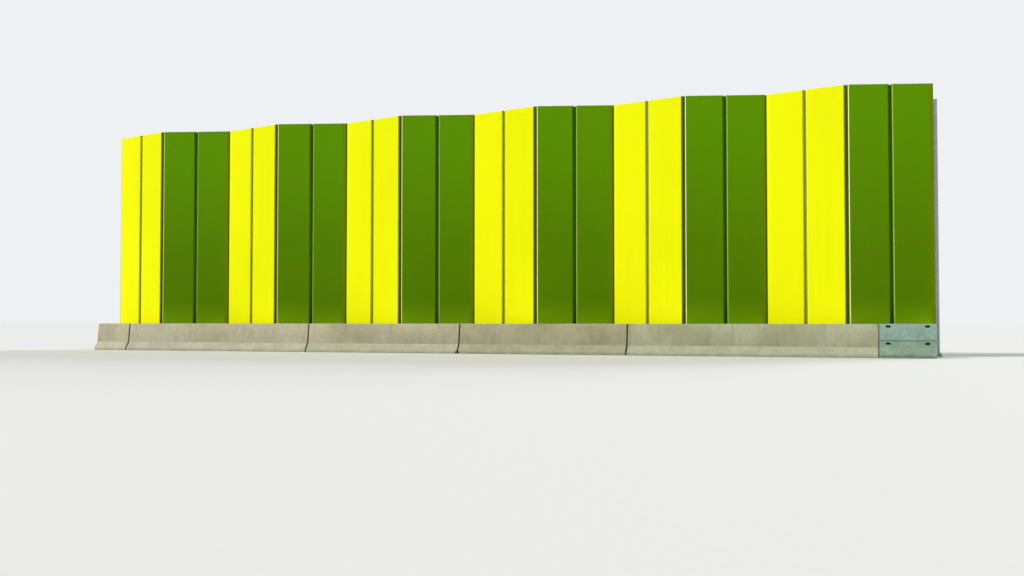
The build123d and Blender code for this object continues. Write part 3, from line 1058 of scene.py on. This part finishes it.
def add_sky():
    """Pale sky, at full strength where it is seen, mirrored or seen through, and dimmer as light."""
    world = bpy.data.worlds.new("studio")
    world.use_nodes = True
    tree = world.node_tree
    tree.nodes.clear()
    path = tree.nodes.new("ShaderNodeLightPath")
    seen = path.outputs["Is Camera Ray"]
    for kind in ("Is Glossy Ray", "Is Transmission Ray"):
        either = tree.nodes.new("ShaderNodeMath")
        either.operation = "MAXIMUM"
        tree.links.new(seen, either.inputs[0])
        tree.links.new(path.outputs[kind], either.inputs[1])
        seen = either.outputs[0]
    strength = tree.nodes.new("ShaderNodeMapRange")
    strength.inputs["To Min"].default_value = SKY_LIGHT
    strength.inputs["To Max"].default_value = 1.0
    tree.links.new(seen, strength.inputs["Value"])
    background = tree.nodes.new("ShaderNodeBackground")
    background.inputs["Color"].default_value = SKY_COLOUR
    tree.links.new(strength.outputs["Result"], background.inputs["Strength"])
    output = tree.nodes.new("ShaderNodeOutputWorld")
    tree.links.new(background.outputs[0], output.inputs["Surface"])
    bpy.context.scene.world = world


def add_light():
    """Soft key from the front left, weak fill from behind, and a pale sky."""
    level = math.cos(KEY_RISE)
    key = (-math.sin(KEY_TURN) * level, -math.cos(KEY_TURN) * level, math.sin(KEY_RISE))
    add_sun("key_lamp", key, KEY_STRENGTH, KEY_SOFTNESS)
    add_sun("back_lamp", BACK_DIRECTION, BACK_STRENGTH, BACK_SOFTNESS)
    add_sky()


def add_camera():
    data = bpy.data.cameras.new("main_camera")
    data.lens = CAMERA_LENS
    data.sensor_width = SENSOR_WIDTH
    data.sensor_fit = "HORIZONTAL"
    data.clip_end = CAMERA_REACH
    camera = bpy.data.objects.new("main_camera", data)
    camera.location = CAMERA_PLACE
    camera.rotation_euler = (math.pi / 2 + CAMERA_RISE, 0.0, CAMERA_TURN)
    bpy.context.scene.collection.objects.link(camera)
    bpy.context.scene.camera = camera


# Slab colours: face is the paint's own, head is painted light, foot and valley are painted bounce light,
# corner is painted shade in the valley's corner, lit and shaded are painted light and shade on the
# bevels, joint is painted shade in the joints, and the ridge's entries are the same at a ridge; then the
# reach and fade of the foot's painted bounce light, and the share of the valley's over the whole face
YELLOW_PAINT = {
    "face": tint(242, 246, 2),
    "head": tint(236, 240, 2),
    "foot": tint(255, 255, 8),
    "valley": tint(254, 253, 6),
    "corner": tint(124, 132, 4),
    "lit": tint(252, 252, 56),
    "shaded": tint(243, 247, 34),
    "joint": tint(150, 160, 1),
    "ridge_lit": tint(198, 212, 86),
    "ridge_shaded": tint(174, 186, 14),
    "ridge_joint": tint(116, 126, 2),
    "foot_bounce_reach": 2.6,
    "foot_bounce_curve": 2.0,
    "wash": 0.35,
}
GREEN_PAINT = {
    "face": tint(97, 142, 1),
    "head": tint(105, 167, 2),
    "foot": tint(150, 198, 8),
    "valley": tint(120, 138, 1),
    "corner": tint(116, 136, 2),
    "lit": tint(146, 182, 66),
    "shaded": tint(80, 132, 1),
    "joint": tint(72, 118, 1),
    "ridge_lit": tint(238, 250, 160),
    "ridge_shaded": tint(80, 128, 2),
    "ridge_joint": tint(64, 104, 1),
    "foot_bounce_reach": 1.7,
    "foot_bounce_curve": 2.6,
    "wash": 0.0,
}

post_zinc = galvanised("post_zinc", tint(186, 190, 192), tint(166, 170, 173), scale=60.0, wear=0.35)
rail_zinc = galvanised("rail_zinc", tint(192, 196, 196), tint(172, 176, 178), scale=80.0, wear=0.25)
fixing_zinc = galvanised("fixing_zinc", tint(204, 204, 198), tint(176, 176, 170), scale=160.0, wear=0.5)
weld_zinc = galvanised("weld_zinc", tint(186, 190, 190), tint(150, 154, 156), scale=120.0, wear=0.4)
cover_steel = sheet_steel("closing_steel")
patch = mortar("patch_mortar")

coat_nodes({
    "yellow_panel": painted_slab("yellow_coat", YELLOW_PAINT, face_normals["yellow"]),
    "green_panel": painted_slab("green_coat", GREEN_PAINT, face_normals["green"]),
    "joint_seals": seal_rubber("seal_rubber"),
    "panel_rails": rail_zinc,
    "valley_post": post_zinc,
    "ridge_post": post_zinc,
    "barrier_unit": barrier_concrete("barrier_concrete_weathered"),
    "barrier_cover": cover_steel,
})
add_anchors(fixing_zinc)
add_rail_fixings(fixing_zinc)
add_rail_studs(fixing_zinc)
add_post_welds(weld_zinc)
add_slab_plugs(patch, plug_plastic("brace_plug_plastic"))
add_barrier_plugs(patch)
add_lap_screws(cover_steel)
add_stage()
add_light()
add_camera()

bpy.context.scene.view_settings.view_transform = "Standard"
